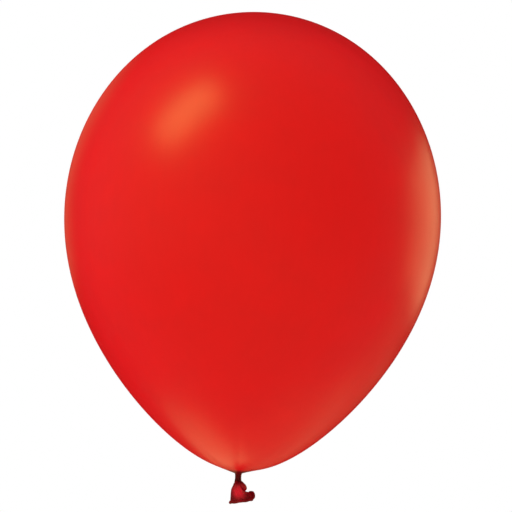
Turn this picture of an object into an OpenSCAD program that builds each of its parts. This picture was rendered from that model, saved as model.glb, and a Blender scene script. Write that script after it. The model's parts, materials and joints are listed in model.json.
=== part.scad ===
// Inflated latex party balloon, tied off with an overhand knot.
// Millimetres, +Z up. The origin is the middle of the gathered throat, where a ribbon is tied:
// the inflated skin stands above it, and the neck, the knot and the loose mouth hang below it.
// The rubber below the throat bends. Its three flex points are modelled as ball ends in sockets.

/* [Inflated skin] */
// Widest width of the inflated skin
belly_w = 300; // [240:1:340]
// Height of the inflated skin, from its lowest point to its crown
skin_h = 366; // [300:1:430]
// Thickness of the film
skin_t = 0.3; // [0.3:0.05:0.6]
// How much fuller the crown end is than the throat end
pear = 0.13; // [0.05:0.01:0.2]
// How much both ends are narrowed
slim = 0.11; // [0:0.01:0.2]
// How far the widest place is carried up towards the crown
shoulder = 0.065; // [0:0.005:0.1]
// How far the belly's axis stands to the right of the tie
belly_x = 3; // [-5:0.5:5]

/* [Throat and neck] */
// Diameter of the drawn-out neck
neck_d = 5.2; // [4.4:0.1:6.5]
// Length of the neck between its two flex points
neck_l = 2.4; // [1.8:0.1:4]
// Height of the groove round the throat, which takes a ribbon
tie_l = 1.6; // [1.2:0.1:3]
// Depth of that groove
tie_groove = 0.4; // [0.2:0.05:0.5]
// Height of the gathered rubber that plugs the skin
plug_h = 1.4; // [1:0.1:3]
// Thickness of the gathered rubber round a socket's rim
gather_t = 0.9; // [0.7:0.1:1.5]
// How much wider than the neck its ball ends are
ball_swell = 0.3; // [0.2:0.05:0.6]
// Gap between two pieces that bend against each other
gap = 0.3; // [0.2:0.05:0.4]

/* [Overhand knot] */
// Height of the knot's core
core_h = 7.2; // [6:0.1:10]
// How far the core bulges out past its two ends
core_bulge = 0.4; // [0.2:0.1:2]
// Thickness of the strand that is wrapped round the core
turn_d = 4; // [3:0.1:5]
// Share of that strand that is pressed into the core
turn_sink = 0.2; // [0.1:0.05:0.4]
// How far that turn sits below the core's middle
turn_drop = 0.8; // [0:0.1:1]
// How far that turn leans
turn_tilt = 12; // [0:1:16]

/* [Loose mouth] */
// Height of the flared tail, from its flex point to the middle of the mouth
tail_h = 7.6; // [6:0.1:10]
// Thickness of the tail's wall
tail_t = 0.5; // [0.4:0.05:0.8]
// Width of the flattened mouth, at the middle of the lip
mouth_w = 18; // [14:0.5:24]
// Depth of the flattened mouth, at the middle of the lip
mouth_d = 9.5; // [8:0.5:14]
// How far the mouth hangs to the right of the tie
mouth_x = 3.5; // [-4:0.5:4]
// How steeply the mouth rises to the right
mouth_tilt = 10; // [0:1:15]
// How far the right end of the mouth curls up
mouth_curl = 2.5; // [0:0.1:3]
// Diameter of the rolled lip
lip_d = 2.4; // [1.8:0.1:3.2]

/* [Hidden] */

latex_red = [0.86, 0.10, 0.10];
thick_latex_red = [0.55, 0.02, 0.05];
turn_fn = 96;
skin_steps = 72;

// Radius of a ball end and of the socket round it
ball_r = (neck_d + ball_swell) / 2;
socket_r = ball_r + gap;
// How far the socket's rim stands off the ball's centre, as a share of the ball's radius and in mm
rim_share = 0.45;
rim_drop = rim_share * ball_r;
// Radius of the rim inside and outside, and of the knot's core at its middle
rim_r = sqrt(socket_r * socket_r - rim_drop * rim_drop);
end_r = rim_r + gather_t;
core_r = end_r + core_bulge;

// Heights from the tie downwards: the skin's lowest point, the throat's rim, the flex point that
// sways, the one that nods, the middle of the knot, and the flex point that flops
skin_z = tie_l / 2;
throat_z = -tie_l / 2;
sway_z = throat_z - rim_drop;
nod_z = sway_z - neck_l;
core_z = nod_z - rim_drop - core_h / 2;
flop_z = core_z - core_h / 2 - rim_drop;

// ---- Inflated skin ----

// Half width of the skin at s, from -1 at its lowest point to 1 at the crown, before it is scaled
function fullness(s) = sqrt(1 - s * s) * (1 + pear * s - slim * s * s + shoulder * s * s * s);
fullest = max([for (i = [0:skin_steps]) fullness(-cos(180 * i / skin_steps))]);

// Outline of a skin of width w and height h whose middle is at the height z
function skin_outline(w, h, z) = [
    for (i = [0:skin_steps])
        let (s = -cos(180 * i / skin_steps))
            [i % skin_steps == 0 ? 0 : w / 2 * fullness(s) / fullest, z + h / 2 * s]
];

module envelope() {
    middle_z = skin_z + skin_h / 2;
    color(latex_red)
        difference() {
            translate([belly_x, 0, 0])
                rotate_extrude($fn = turn_fn)
                    difference() {
                        polygon(skin_outline(belly_w, skin_h, middle_z));
                        polygon(skin_outline(belly_w - 2 * skin_t, skin_h - 2 * skin_t, middle_z));
                    }
            cylinder(h = skin_z + plug_h, r = end_r, $fn = turn_fn);
        }
}

// ---- Throat and neck ----

// The skin gathered into a ring: it plugs the skin's hole, narrows to the groove for a ribbon,
// and ends in the socket that the neck's upper ball turns in.
module throat() {
    groove_r = (tie_l * tie_l / 4 + tie_groove * tie_groove) / (2 * tie_groove);
    color(latex_red)
        difference() {
            rotate_extrude($fn = turn_fn)
                difference() {
                    translate([0, throat_z])
                        square([end_r, tie_l + plug_h]);
                    translate([end_r - tie_groove + groove_r, 0])
                        circle(r = groove_r, $fn = turn_fn);
                }
            translate([0, 0, sway_z])
                sphere(r = socket_r, $fn = turn_fn);
        }
}

module neck() {
    color(thick_latex_red)
        union() {
            for (z = [sway_z, nod_z])
                translate([0, 0, z])
                    sphere(r = ball_r, $fn = turn_fn);
            translate([0, 0, nod_z])
                cylinder(h = neck_l, r = neck_d / 2, $fn = turn_fn);
        }
}

// ---- Overhand knot ----

// The strand that runs down through the knot, a barrel with a socket in each end
module knot_barrel() {
    side_r = (core_h * core_h / 4 + core_bulge * core_bulge) / (2 * core_bulge);
    translate([0, 0, core_z])
        rotate_extrude($fn = turn_fn)
            intersection() {
                translate([0, -core_h / 2])
                    square([core_r, core_h]);
                translate([core_r - side_r, 0])
                    circle(r = side_r, $fn = 2 * turn_fn);
            }
}

module knot_core() {
    color(thick_latex_red)
        difference() {
            knot_barrel();
            for (z = [nod_z, flop_z])
                translate([0, 0, z])
                    sphere(r = socket_r, $fn = turn_fn);
        }
}

// The turn that is wrapped round that strand and pinches the balloon shut
module knot_turn() {
    color(thick_latex_red)
        difference() {
            translate([0, 0, core_z - turn_drop])
                rotate([0, turn_tilt, 0])
                    rotate_extrude($fn = turn_fn)
                        translate([core_r + (0.5 - turn_sink) * turn_d, 0])
                            circle(d = turn_d, $fn = turn_fn);
            knot_barrel();
        }
}

// ---- Loose mouth ----

ring_sides = 28;
tail_rings = 8;
lip_sides = 10;
// Shares of the way down the tail at which its wall and its inside begin
skirt_from = 0.15;
hollow_from = 0.4;
// Radius of the tail at its very top, as a share of its ball end's radius
top_share = 0.8;

// The middle of a ring of points
function middle(ring) = [for (p = ring) 1] * ring / len(ring);

// A closed solid through rings that each have the same number of points. In a loop the last ring
// joins the first, and otherwise a fan of faces closes each end.
module loft(rings, loop = false) {
    n = len(rings[0]);
    m = len(rings);
    first_end = n * m;
    last_end = first_end + 1;
    sides = [
        for (k = [0:m - (loop ? 1 : 2)], i = [0:n - 1])
            let (a = k * n, b = (k + 1) % m * n, j = (i + 1) % n)
                each [[a + i, a + j, b + j], [a + i, b + j, b + i]]
    ];
    ends = [
        for (i = [0:n - 1])
            let (j = (i + 1) % n, b = (m - 1) * n)
                each [[first_end, j, i], [last_end, b + i, b + j]]
    ];
    points = [for (ring = rings) each ring];
    polyhedron(
        points = loop ? points : concat(points, [middle(rings[0]), middle(rings[m - 1])]),
        faces = loop ? sides : concat(sides, ends)
    );
}

// How much of its flare the tail has at the share t of the way down it
function flare(t) = t * t * (3 - 2 * t);

// A point of the tail, at the share t of the way down it and the angle a round it, inside the
// mid-wall by the distance inset. The tail is round at the top and flattened at the mouth.
function tail_point(t, a, inset = 0) =
    let (
        top_r = top_share * ball_r,
        half_w = top_r + (mouth_w / 2 - top_r) * flare(t) - inset,
        half_d = top_r + (mouth_d / 2 - top_r) * flare(t) - inset,
        rise = half_w * cos(a) * tan(mouth_tilt) + mouth_curl * pow(max(0, cos(a)), 2)
    )
    [mouth_x * t + half_w * cos(a), half_d * sin(a), -tail_h * t + rise * t];

// All the points round the tail at the share t of the way down it
function tail_ring(t, inset = 0) =
    [for (i = [0:ring_sides - 1]) tail_point(t, 360 * i / ring_sides, inset)];

// The tail's wall, down to its edge
module skirt() {
    outer = [for (k = [0:tail_rings]) skirt_from + (1 - skirt_from) * k / tail_rings];
    inner = [for (k = [tail_rings:-1:0]) hollow_from + (1 - hollow_from) * k / tail_rings];
    loft(concat(
        [for (t = outer) tail_ring(t, -tail_t / 2)],
        [for (t = inner) tail_ring(t, tail_t / 2)]
    ));
}

module tail() {
    color(thick_latex_red)
        translate([0, 0, flop_z])
            union() {
                sphere(r = ball_r, $fn = turn_fn);
                skirt();
            }
}

// The bead that the mouth's edge is rolled into, with a slot that holds that edge
module rolled_lip() {
    bead = [
        for (i = [0:ring_sides - 1])
            let (
                a = 360 * i / ring_sides,
                here = tail_point(1, a),
                ahead = tail_point(1, a + 1) - tail_point(1, a - 1),
                along = ahead / norm(ahead),
                side = cross(along, [0, 0, 1]) / norm(cross(along, [0, 0, 1])),
                up = cross(side, along)
            )
            [for (k = [0:lip_sides - 1])
                let (b = 360 * k / lip_sides)
                    here + lip_d / 2 * (cos(b) * side + sin(b) * up)]
    ];
    color(thick_latex_red)
        translate([0, 0, flop_z])
            difference() {
                loft(bead, loop = true);
                skirt();
            }
}

envelope();
throat();
neck();
knot_core();
knot_turn();
tail();
rolled_lip();
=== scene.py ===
import math
import json
import random

import bmesh
import bpy
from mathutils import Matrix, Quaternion, Vector, noise


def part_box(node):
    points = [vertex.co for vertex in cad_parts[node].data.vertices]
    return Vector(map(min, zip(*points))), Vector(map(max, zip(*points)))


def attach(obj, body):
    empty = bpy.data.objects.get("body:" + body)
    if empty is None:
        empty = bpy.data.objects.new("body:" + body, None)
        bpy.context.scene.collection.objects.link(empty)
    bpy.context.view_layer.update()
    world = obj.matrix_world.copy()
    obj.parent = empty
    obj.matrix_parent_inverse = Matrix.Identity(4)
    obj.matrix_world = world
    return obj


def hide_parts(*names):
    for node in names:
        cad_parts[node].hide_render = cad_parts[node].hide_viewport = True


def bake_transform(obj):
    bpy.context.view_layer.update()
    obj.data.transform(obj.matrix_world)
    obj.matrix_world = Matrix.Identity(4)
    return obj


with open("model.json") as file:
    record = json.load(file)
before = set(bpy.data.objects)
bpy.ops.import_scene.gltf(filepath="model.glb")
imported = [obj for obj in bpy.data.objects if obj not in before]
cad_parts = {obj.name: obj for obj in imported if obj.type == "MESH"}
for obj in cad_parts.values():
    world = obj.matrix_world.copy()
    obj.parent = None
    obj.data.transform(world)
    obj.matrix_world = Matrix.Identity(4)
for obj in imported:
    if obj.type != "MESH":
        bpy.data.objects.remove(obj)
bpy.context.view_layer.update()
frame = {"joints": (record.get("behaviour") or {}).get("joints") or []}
bpy.ops.object.select_all(action="DESELECT")


# ---- Camera ----
# A long lens that looks level at the balloon from the front. It is rolled a little, because the
# balloon stands with its crown leaning to the right.
MM = 0.001
skin_lo, skin_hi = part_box("envelope")
axis_x = (skin_lo.x + skin_hi.x) / 2
belly_r = (skin_hi.y - skin_lo.y) / 2
half_h = (skin_hi.z - skin_lo.z) / 2
middle_z = (skin_hi.z + skin_lo.z) / 2
LENS_DISTANCE = 2.5
FRAME_SIDE = 408 * MM
LEAN = math.radians(2.34)
RIGHT_BY = 3.5 * MM
DOWN_BY = 11.2 * MM
screen_right = (math.cos(LEAN), math.sin(LEAN))
screen_up = (-math.sin(LEAN), math.cos(LEAN))
bpy.ops.object.camera_add(
    location=(
        axis_x + RIGHT_BY * screen_right[0] - DOWN_BY * screen_up[0],
        -LENS_DISTANCE,
        middle_z + RIGHT_BY * screen_right[1] - DOWN_BY * screen_up[1],
    ),
    rotation=(math.pi / 2, -LEAN, 0),
)
camera = bpy.context.object
camera.data.lens = camera.data.sensor_width * LENS_DISTANCE / FRAME_SIDE
bpy.context.scene.camera = camera
bpy.context.scene.view_settings.view_transform = "Standard"


# ---- Inflated skin, throat and neck ----
# One seamless film of latex, dipped on a former and drawn thin by the gas in it, fullest a little
# above its middle. At its lowest point it is gathered into fine pleats, which run down through the
# neck to the knot.
SKIN_COLUMNS = 160
SKIN_RINGS = 96
RING_TOLERANCE = 0.02 * MM
# Radius of the neck, of the gathered film round it, and of the funnel that runs down into it
NECK_R = 2.55 * MM
GATHER_R = 26 * MM
FUNNEL_R = 16 * MM
FUNNEL_H = 2.6 * MM
PLEAT_SPACING = 4
PLEAT_SHARE = 0.62
PLEAT_DEPTH = 0.10
CREASE_W = 2.4 * MM
CREASE_FADE_H = 8 * MM
# Creases that run up the film from the throat: heading in degrees, reach and depth in mm
CREASES = [
    (-90, 66, 0.9),
    (-128, 40, 0.5),
    (-52, 34, 0.5),
    (-12, 52, 0.6),
    (28, 36, 0.4),
    (74, 60, 0.8),
    (118, 38, 0.5),
    (161, 50, 0.6),
]
pleats = random.Random(5)
valleys = [
    column for column in range(0, SKIN_COLUMNS, PLEAT_SPACING) if pleats.random() < PLEAT_SHARE
]
joint_z = {joint["name"]: joint["pos_m"][2] for joint in frame["joints"]}
mid_neck_z = (joint_z["neck_sway"] + joint_z["knot_nod"]) / 2


def pick(test):
    """Selects the vertices of the mesh in edit mode that pass the test, and no others."""
    mesh = bmesh.from_edit_mesh(bpy.context.edit_object.data)
    for vertex in mesh.verts:
        vertex.select = test(vertex)
    mesh.select_flush_mode()
    bmesh.update_edit_mesh(bpy.context.edit_object.data)


def select_only(piece):
    """Selects one piece and makes it the active one."""
    bpy.ops.object.select_all(action="DESELECT")
    bpy.context.view_layer.objects.active = piece
    piece.select_set(True)


def edit(piece):
    """Opens a piece in edit mode with nothing selected."""
    select_only(piece)
    bpy.ops.object.mode_set(mode="EDIT")
    bpy.ops.mesh.select_mode(type="VERT")
    bpy.ops.mesh.select_all(action="DESELECT")


def add_modifier(piece, kind, **settings):
    """Adds a modifier to a piece in object mode and applies it."""
    bpy.context.view_layer.objects.active = piece
    modifier = piece.modifiers.new(kind.lower(), kind)
    for name, value in settings.items():
        setattr(modifier, name, value)
    bpy.ops.object.modifier_apply(modifier=modifier.name)


def fullness(s):
    """Half width of the skin at s, from -1 at its lowest point to 1 at the crown."""
    return math.sqrt(1 - s * s) * (1 + 0.13 * s - 0.11 * s**2 + 0.065 * s**3)


def in_valley(place):
    """Whether a point of the skin stands on one of the columns that the gathering pulls in."""
    turn = math.atan2(place.y, place.x - axis_x) / math.tau
    return round(turn * SKIN_COLUMNS) % SKIN_COLUMNS in valleys


fullest = max(fullness(k / 100) for k in range(-99, 100))
bpy.ops.mesh.primitive_uv_sphere_add(
    segments=SKIN_COLUMNS, ring_count=SKIN_RINGS, radius=half_h, location=(axis_x, 0, middle_z)
)
skin = bpy.context.object
skin.name = "inflated_skin"
bpy.ops.object.transform_apply(location=True, rotation=True, scale=True)
edit(skin)
for ring in range(1, SKIN_RINGS):
    s = -math.cos(math.pi * ring / SKIN_RINGS)
    ring_z = middle_z + half_h * s
    reach = belly_r * fullness(s) / fullest
    share = reach / (half_h * math.sqrt(1 - s * s))
    pick(lambda v: abs(v.co.z - ring_z) < RING_TOLERANCE)
    bpy.ops.transform.resize(value=(share, share, 1), center_override=(axis_x, 0, ring_z))
    gathered = max(0, 1 - reach / GATHER_R) if s < 0 else 0
    if gathered:
        pick(lambda v: abs(v.co.z - ring_z) < RING_TOLERANCE and in_valley(v.co))
        pull = 1 - PLEAT_DEPTH * gathered**2
        bpy.ops.transform.resize(value=(pull, pull, 1), center_override=(axis_x, 0, ring_z))
        pick(lambda v: abs(v.co.z - ring_z) < RING_TOLERANCE)
        bpy.ops.transform.translate(value=(-axis_x * min(1, 1.25 * gathered) ** 2, 0, 0))

# The pole is cut out, the film runs down in a funnel, and the neck is drawn out of its edge
pick(lambda v: v.co.z < skin_lo.z + RING_TOLERANCE)
bpy.ops.mesh.delete(type="VERT")
pick(lambda v: v.co.z < middle_z and math.hypot(v.co.x, v.co.y) < FUNNEL_R)
for vertex in [v for v in bmesh.from_edit_mesh(skin.data).verts if v.select]:
    vertex.co.z -= FUNNEL_H * (1 - math.hypot(vertex.co.x, vertex.co.y) / FUNNEL_R) ** 2
pick(lambda v: v.is_boundary)
ring_r = belly_r * fullness(-math.cos(math.pi / SKIN_RINGS)) / fullest
# Height of each ring of the neck, and its share of the neck's radius
neck_steps = [
    (-0.8 * MM, 1.14),
    (-1.6 * MM, 1.03),
    (-2.4 * MM, 1.0),
    (mid_neck_z, 0.98),
    (-4.4 * MM, 0.98),
    (-5.6 * MM, 1.0),
    (-6.8 * MM, 1.08),
    (-8.4 * MM, 1.16),
]
for step_z, spread in neck_steps:
    bpy.ops.mesh.extrude_region_move()
    share = NECK_R * spread / ring_r
    bpy.ops.transform.resize(value=(share, share, 0), center_override=(0, 0, step_z))
    ring_r = NECK_R * spread
bpy.ops.object.mode_set(mode="OBJECT")
for vertex in skin.data.vertices:
    rise = vertex.co.z - skin_lo.z
    for heading, reach, depth in CREASES:
        if 0 < rise < reach * MM:
            out = Vector((vertex.co.x, vertex.co.y, 0))
            turned = (math.atan2(out.y, out.x) - math.radians(heading) + math.pi) % math.tau
            aside = (turned - math.pi) * out.length / (CREASE_W * (1 + rise / (reach * MM)))
            fade = (1 - rise / (reach * MM)) * min(1, rise / CREASE_FADE_H)
            vertex.co -= out.normalized() * depth * MM * fade * math.exp(-aside * aside)
add_modifier(skin, "SUBSURF", levels=1, render_levels=1)

# The neck's lower half becomes a piece of its own
edit(skin)
bpy.ops.mesh.select_mode(type="FACE")
film = bmesh.from_edit_mesh(skin.data)
for face in film.faces:
    face.select = face.calc_center_median().z < mid_neck_z
bmesh.update_edit_mesh(skin.data)
bpy.ops.mesh.separate(type="SELECTED")
bpy.ops.object.mode_set(mode="OBJECT")
lower_neck = next(o for o in bpy.context.selected_objects if o is not skin)
lower_neck.name = "lower_neck"
for piece in (skin, lower_neck):
    select_only(piece)
    bpy.ops.object.shade_smooth()


class Link:
    """One output of a material's nodes. Sums with numbers or other outputs add Math nodes."""

    def __init__(self, tree, socket=None):
        self.tree, self.socket = tree, socket

    def node(self, kind, settings=None, values=None, output=0):
        made = self.tree.nodes.new(kind)
        for name, value in (settings or {}).items():
            setattr(made, name, value)
        for name, value in (values or {}).items():
            if isinstance(value, Link):
                self.tree.links.new(value.socket, made.inputs[name])
            else:
                made.inputs[name].default_value = value
        return Link(self.tree, made.outputs[output] if made.outputs else None)

    def maths(self, operation, first, second):
        return self.node("ShaderNodeMath", {"operation": operation}, {0: first, 1: second})

    def __add__(self, other):
        return self.maths("ADD", self, other)

    def __sub__(self, other):
        return self.maths("SUBTRACT", self, other)

    def __rsub__(self, other):
        return self.maths("SUBTRACT", other, self)

    def __mul__(self, other):
        return self.maths("MULTIPLY", self, other)

    __radd__ = __add__
    __rmul__ = __mul__


def latex(name, thin_red, deep_red, depth_of, specular, light_through, streak_depth):
    """A latex finish. depth_of gives, from the nodes and the place, how deep the red is, from thicker
    rubber and, on some pieces, from painted light and shade. It has faint clouds a few centimetres
    wide, streaks that run down it and a fine grain."""
    material = bpy.data.materials.new(name)
    material.use_nodes = True
    tree = material.node_tree
    tree.nodes.clear()
    start = Link(tree)
    place = start.node("ShaderNodeTexCoord", output=3)
    clouds = start.node(
        "ShaderNodeTexNoise",
        values={"Vector": place, "Scale": 28, "Detail": 4, "Roughness": 0.55},
    )
    stretched = start.node("ShaderNodeMapping", values={"Vector": place, "Scale": (260, 260, 14)})
    streaks = start.node(
        "ShaderNodeTexNoise", values={"Vector": stretched, "Scale": 1, "Detail": 3, "Roughness": 0.6}
    )
    grain = start.node(
        "ShaderNodeTexNoise", values={"Vector": place, "Scale": 1900, "Detail": 3, "Roughness": 0.7}
    )
    depth = depth_of(start, place) + (clouds - 0.5) * 0.14 + (streaks - 0.5) * streak_depth
    depth = start.node("ShaderNodeClamp", values={"Value": depth, "Min": 0.0, "Max": 1.0})
    red = start.node(
        "ShaderNodeMix",
        {"data_type": "RGBA"},
        {0: depth, 6: (*thin_red, 1), 7: (*deep_red, 1)},
        output=2,
    )
    height = clouds * 0.3 + streaks * 0.25 + grain * 0.05
    bumped = start.node(
        "ShaderNodeBump", values={"Height": height, "Strength": 0.25, "Distance": 0.4 * MM}
    )
    surface = start.node(
        "ShaderNodeBsdfPrincipled",
        values={
            "Base Color": red,
            "Roughness": 0.27 + 0.08 * clouds + 0.05 * grain,
            "Specular IOR Level": specular,
            "Specular Tint": (1, 0.85, 0.42, 1),
            "Normal": bumped,
        },
    )
    glow = start.node("ShaderNodeBsdfTranslucent", values={"Color": (*thin_red, 1), "Normal": bumped})
    mixed = start.node("ShaderNodeMixShader", values={0: light_through, 1: surface, 2: glow})
    start.node("ShaderNodeOutputMaterial", values={"Surface": mixed})
    return material


def film_depth_and_throat_shade(start, place):
    """The stretched film is deeper where it is drawn less, at the crown. Down at the throat and the top
    of the neck it turns nearly black: thicker gathered rubber, and painted shade.
    """
    height = start.node("ShaderNodeSeparateXYZ", values={0: place}, output=2)
    share = (height - middle_z) * (1 / half_h)
    crown = start.node(
        "ShaderNodeMapRange",
        {"interpolation_type": "SMOOTHSTEP"},
        {"Value": share, "From Min": 0.8, "From Max": 1.0, "To Min": 0.0, "To Max": 0.12},
    )
    # Painted shade: the throat and the top of the neck are darkened almost to the deepest red
    throat = start.node(
        "ShaderNodeMapRange",
        {"interpolation_type": "SMOOTHSTEP"},
        {"Value": share, "From Min": -0.985, "From Max": -1.004, "To Min": 0.0, "To Max": 0.9},
    )
    return 0.06 + crown + throat


def coat(piece, material):
    """Gives a piece one finish all over."""
    piece.data.materials.clear()
    piece.data.materials.append(material)


# The deepest red, for the thicker crown and for painted shade at the throat and neck
DEEP_RED = (0.12, 0.0005, 0.004)
stretched_latex = latex(
    "stretched_latex",
    thin_red=(0.93, 0.002, 0.006),
    deep_red=DEEP_RED,
    depth_of=film_depth_and_throat_shade,
    specular=0.32,
    light_through=0.10,
    streak_depth=0.06,
)
coat(skin, stretched_latex)
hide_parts("envelope", "throat")
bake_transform(skin)


def gathered_depth_and_neck_shade(start, place):
    """Gathered rubber is deepest in the neck, where it is bunched and where shade is painted in, and
    lighter over the knot.
    """
    height = start.node("ShaderNodeSeparateXYZ", values={0: place}, output=2)
    # Painted shade on the narrow neck: darker upwards, lighter down at the knot
    bunched_and_shaded = start.node(
        "ShaderNodeMapRange",
        {"interpolation_type": "SMOOTHSTEP"},
        {"Value": height, "From Min": -11 * MM, "From Max": -6 * MM, "To Min": 0.3, "To Max": 0.96},
    )
    lumps = start.node("ShaderNodeTexNoise", values={"Vector": place, "Scale": 420, "Detail": 2})
    return bunched_and_shaded + 0.4 * (1 - bunched_and_shaded) * lumps


gathered_latex = latex(
    "gathered_latex",
    thin_red=(0.58, 0.002, 0.016),
    deep_red=DEEP_RED,
    depth_of=gathered_depth_and_neck_shade,
    specular=0.32,
    light_through=0.10,
    streak_depth=0.06,
)
coat(lower_neck, gathered_latex)
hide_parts("neck")
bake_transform(lower_neck)


# ---- Overhand knot ----
# The same rubber, drawn out into a pleated strand, taken once round itself, tucked through and
# pulled tight, so that its strands are pressed into each other.
KNOT_RISE = 3 * MM
core_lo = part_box("knot_core")[0]
knot_z = core_lo.z + KNOT_RISE
STRAND_R = 2.3 * MM
STRAND_FOLDS = 9
FOLD_SHARE = 0.86
VOXEL = 0.16 * MM
# Route of the strand about the knot's middle, in mm, with its share of the strand's thickness: down
# from the neck, out to the right, round the front to the left, round the back, and over the top to
# the front, where the loose end begins
STRAND_ROUTE = [
    (0.0, 0.0, 6.6, 1.0),
    (0.0, 0.2, 4.4, 1.0),
    (-0.2, 0.8, 2.2, 1.05),
    (0.2, 1.4, 0.0, 1.05),
    (1.6, 1.6, -2.2, 1.0),
    (3.8, 1.0, -3.4, 1.0),
    (5.3, -0.6, -2.8, 1.0),
    (4.6, -2.4, -1.0, 1.0),
    (2.2, -3.0, 0.6, 1.0),
    (-0.6, -2.2, 0.4, 1.0),
    (-1.6, -0.4, -0.2, 0.95),
    (-1.8, 1.8, -1.0, 0.95),
    (-1.3, 3.8, -1.4, 1.05),
    (0.8, 4.8, -0.9, 1.05),
    (2.6, 4.0, -0.1, 1.05),
    (2.4, 1.4, 0.7, 1.05),
    (0.6, -1.4, 1.5, 1.0),
    (-0.6, -3.4, 0.9, 1.0),
    (-0.9, -4.2, -1.0, 1.0),
    (-0.9, -3.8, -2.2, 0.9),
    (-0.8, -3.2, -3.1, 0.7),
]
# The strand's section is a circle with a fold pressed in at every fourth point
bpy.ops.mesh.primitive_circle_add(vertices=4 * STRAND_FOLDS, radius=STRAND_R)
fold_ring = bpy.context.object
edit(fold_ring)
pick(lambda v: v.index % 4 == 0)
bpy.ops.transform.resize(value=(FOLD_SHARE, FOLD_SHARE, 1), center_override=(0, 0, 0))
bpy.ops.object.mode_set(mode="OBJECT")
bpy.ops.object.convert(target="CURVE")

bpy.ops.object.select_all(action="DESELECT")
bpy.ops.curve.primitive_nurbs_path_add(location=(0, 0, 0))
knot = bpy.context.object
knot.name = "overhand_knot"
route = knot.data.splines[0]
route.points.add(len(STRAND_ROUTE) - len(route.points))
for point, (x, y, z, thickness) in zip(route.points, STRAND_ROUTE):
    point.co = (x * MM, y * MM, knot_z + z * MM, 1)
    point.radius = thickness
route.order_u = 3
route.use_endpoint_u = True
knot.data.resolution_u = 8
knot.data.bevel_mode = "OBJECT"
knot.data.bevel_object = fold_ring
knot.data.use_fill_caps = True
bpy.ops.object.convert(target="MESH")
bpy.data.objects.remove(fold_ring)
add_modifier(knot, "REMESH", mode="VOXEL", voxel_size=VOXEL)
add_modifier(knot, "SMOOTH", factor=0.5, iterations=8)
bpy.ops.object.shade_smooth()
coat(knot, gathered_latex)
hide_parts("knot_core", "knot_turn")
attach(knot, "knot")


# ---- Tail and rolled lip ----
# The loose end of the neck, never blown up: a thicker skirt of rubber that comes over the front of
# the knot and flares, flattened and creased. Its edge was rolled into a bead when the balloon was
# made.
TAIL_COLUMNS = 96
TAIL_T = 0.4 * MM
LIP_R = 1.2 * MM
MOUTH_TILT = math.tan(math.radians(10))
LIFT = 5.5 * MM
LIFT_HEADING = math.radians(38)
LIP_RIPPLE = 0.15 * MM
FOLD_DEPTH = 0.13
FOLD_FADE = 0.09
WRINKLE = 0.22 * MM
WRINKLES_PER_M = 350
# Rings of the tail from the knot down, in mm: middle to the right of the tie and in front of it,
# height under the tie, half width and half depth
TAIL_RINGS = [
    (-0.9, -4.2, -9.2, 1.8, 1.8),
    (-1.0, -4.2, -10.8, 2.8, 2.2),
    (-1.0, -3.7, -12.8, 3.8, 2.6),
    (-0.6, -2.6, -15.2, 4.5, 3.0),
    (0.6, -1.3, -17.8, 5.8, 3.4),
    (2.2, -0.5, -20.4, 7.6, 3.8),
    (3.6, 0.0, -22.6, 9.2, 4.1),
]
top_x, top_y, top_z, top_w, _ = TAIL_RINGS[0]
bpy.ops.mesh.primitive_circle_add(
    vertices=TAIL_COLUMNS, radius=top_w * MM, location=(top_x * MM, top_y * MM, top_z * MM)
)
tail = bpy.context.object
tail.name = "flared_tail"
bpy.ops.object.transform_apply(location=True)
edit(tail)
bpy.ops.mesh.select_all(action="SELECT")
for above, ring in zip(TAIL_RINGS, TAIL_RINGS[1:]):
    moved = [(low - high) * MM for low, high in zip(ring[:3], above[:3])]
    bpy.ops.mesh.extrude_region_move(TRANSFORM_OT_translate={"value": moved})
    bpy.ops.transform.resize(
        value=(ring[3] / above[3], ring[4] / above[4], 1),
        center_override=[place * MM for place in ring[:3]],
    )
bpy.ops.object.mode_set(mode="OBJECT")

# The mouth rises to the right, its right end is turned up at the back, and the folds fade towards
# its edge
noise.seed_set(7)
for vertex in tail.data.vertices:
    middle_x, middle_y, _, half_w, half_d = [
        value * MM for value in TAIL_RINGS[vertex.index // TAIL_COLUMNS]
    ]
    low = (vertex.index // TAIL_COLUMNS) / (len(TAIL_RINGS) - 1)
    across = (vertex.co.x - middle_x) / half_w
    angle = math.atan2((vertex.co.y - middle_y) / half_d, across)
    rise = MOUTH_TILT * across * half_w
    rise += LIFT * max(0, math.cos(angle - LIFT_HEADING)) ** 3
    rise += LIP_RIPPLE * math.sin(7 * angle + 1)
    vertex.co.z += rise * low**2
    folds = 0.6 * math.sin(11 * angle + 2) + 0.4 * math.sin(17 * angle + 5)
    share = 1 + folds * (FOLD_DEPTH - FOLD_FADE * low)
    vertex.co.x = middle_x + (vertex.co.x - middle_x) * share
    vertex.co.y = middle_y + (vertex.co.y - middle_y) * share
    vertex.co += noise.noise_vector(vertex.co * WRINKLES_PER_M) * WRINKLE

# The bead is a tube round the last ring
edit(tail)
last_ring = TAIL_COLUMNS * (len(TAIL_RINGS) - 1)
pick(lambda v: v.index >= last_ring)
bpy.ops.mesh.duplicate()
bpy.ops.mesh.separate(type="SELECTED")
bpy.ops.object.mode_set(mode="OBJECT")
lip = next(o for o in bpy.context.selected_objects if o is not tail)
lip.name = "rolled_lip_bead"
select_only(lip)
bpy.ops.object.convert(target="CURVE")
lip.data.bevel_depth = LIP_R
lip.data.bevel_resolution = 6
bpy.ops.object.convert(target="MESH")
bpy.ops.object.shade_smooth()

select_only(tail)
add_modifier(tail, "SOLIDIFY", thickness=TAIL_T, offset=0)
add_modifier(tail, "SUBSURF", levels=2, render_levels=2)
bpy.ops.object.shade_smooth()


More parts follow.
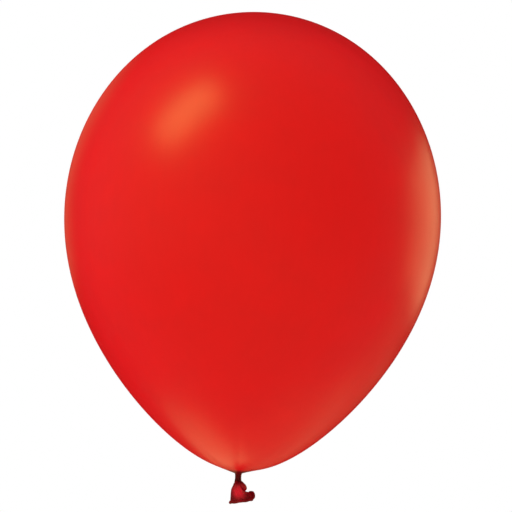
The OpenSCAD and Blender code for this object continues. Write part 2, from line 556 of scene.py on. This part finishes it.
def loose_light_and_shade(start, place):
    """The loose end is lightest on a spot over the front of the knot, a painted light, and painted
    shade deepens away from it over its edges, lip and back.
    """
    middle = (1.4 * MM, -6 * MM, -15 * MM)
    apart = start.node(
        "ShaderNodeVectorMath", {"operation": "DISTANCE"}, {0: place, 1: middle}, output=1
    )
    # Painted shade grows with the distance from the painted lit spot
    painted_shade = start.node(
        "ShaderNodeMapRange",
        {"interpolation_type": "SMOOTHSTEP"},
        {"Value": apart, "From Min": 1.5 * MM, "From Max": 8.5 * MM, "To Min": 0.0, "To Max": 0.8},
    )
    lumps = start.node("ShaderNodeTexNoise", values={"Vector": place, "Scale": 420, "Detail": 2})
    return painted_shade + 0.35 * lumps


loose_latex = latex(
    "loose_latex",
    thin_red=(0.95, 0.005, 0.030),
    deep_red=(0.18, 0.0005, 0.006),
    depth_of=loose_light_and_shade,
    specular=0.4,
    light_through=0.12,
    streak_depth=0.20,
)
for piece, node in ((tail, "tail"), (lip, "rolled_lip")):
    coat(piece, loose_latex)
    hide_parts(node)
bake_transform(tail)
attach(lip, "tail")


# ---- Studio ----
# A plain pale floor well below the balloon, fading into a white surround. One soft light stands high
# on the left, one behind on each side, and three low behind the balloon.
bpy.ops.object.select_all(action="DESELECT")
FLOOR_R = 3.4
FLOOR_DROP = 0.42
bpy.ops.mesh.primitive_circle_add(
    vertices=96, radius=FLOOR_R, fill_type="NGON", location=(0, 0, skin_lo.z - FLOOR_DROP)
)
floor = bpy.context.object
floor.name = "floor"
bpy.ops.object.transform_apply(location=True)
pale = bpy.data.materials.new("pale_floor")
pale.use_nodes = True
pale.node_tree.nodes.clear()
start = Link(pale.node_tree)
place = start.node("ShaderNodeTexCoord", output=3)
distance = start.node("ShaderNodeVectorMath", {"operation": "LENGTH"}, {0: place}, output=1)
faded = start.node(
    "ShaderNodeMapRange",
    {"interpolation_type": "SMOOTHSTEP"},
    {"Value": distance, "From Min": 0.35 * FLOOR_R, "From Max": 0.98 * FLOOR_R},
)
matt = start.node("ShaderNodeBsdfDiffuse", values={"Color": (0.86, 0.86, 0.86, 1)})
clear = start.node("ShaderNodeBsdfTransparent")
shown = start.node("ShaderNodeMixShader", values={0: faded, 1: matt, 2: clear})
start.node("ShaderNodeOutputMaterial", values={"Surface": shown})
floor.data.materials.append(pale)
floor.visible_glossy = False

world = bpy.data.worlds.new("white_surround")
bpy.context.scene.world = world
world.use_nodes = True
world.node_tree.nodes.clear()
start = Link(world.node_tree)
seen = start.node("ShaderNodeLightPath", output=0)
towards = start.node("ShaderNodeTexCoord", output=0)
to_right = start.node("ShaderNodeSeparateXYZ", values={0: towards}, output=0)
to_back = start.node("ShaderNodeSeparateXYZ", values={0: towards}, output=1)
lit = 1.015 - 0.33 * to_right + 0.14 * to_back
strength = seen + (1 - seen) * lit
sky = start.node("ShaderNodeBackground", values={"Color": (1, 1, 1, 1), "Strength": strength})
start.node("ShaderNodeOutputWorld", values={"Surface": sky})
world.cycles_visibility.glossy = False

WARM = (1.0, 0.88, 0.42)


def soft_light(name, towards, distance, width, height, radiance, turn=0, lights_film=True):
    """A rectangular soft light in the direction given, turned to face the belly's middle. One that
    doesn't light the film is only seen reflected in it."""
    bpy.ops.object.light_add(type="AREA")
    light = bpy.context.object
    light.name = name
    light.data.shape = "RECTANGLE"
    light.data.size, light.data.size_y = width, height
    light.data.energy = radiance * math.pi * width * height
    light.data.color = WARM
    unit = Vector(towards).normalized()
    light.location = Vector((axis_x, 0, middle_z)) + unit * distance
    light.rotation_mode = "QUATERNION"
    light.rotation_quaternion = unit.to_track_quat("Z", "Y") @ Quaternion((0, 0, 1), turn)
    light.visible_camera = False
    light.visible_diffuse = lights_film


soft_light(
    "key_light", (-0.565, -0.37, 0.715), 1.3, 0.38, 0.72, 9.2, turn=math.radians(-22), lights_film=False
)
soft_light("right_panel", (0.79, 0.60, 0.02), 1.3, 0.92, 0.72, 1.5, lights_film=False)
soft_light("left_panel", (-0.50, 0.85, 0.14), 1.4, 0.5, 0.8, 0.3, lights_film=False)
soft_light("low_panel", (-0.25, 0.34, -0.90), 0.62, 0.36, 0.28, 1.15)
soft_light("low_wide_panel", (0.16, 0.34, -0.92), 0.62, 0.72, 0.56, 0.36)
soft_light("right_flank_panel", (0.56, 0.50, -0.58), 0.80, 0.60, 0.50, 0.22)
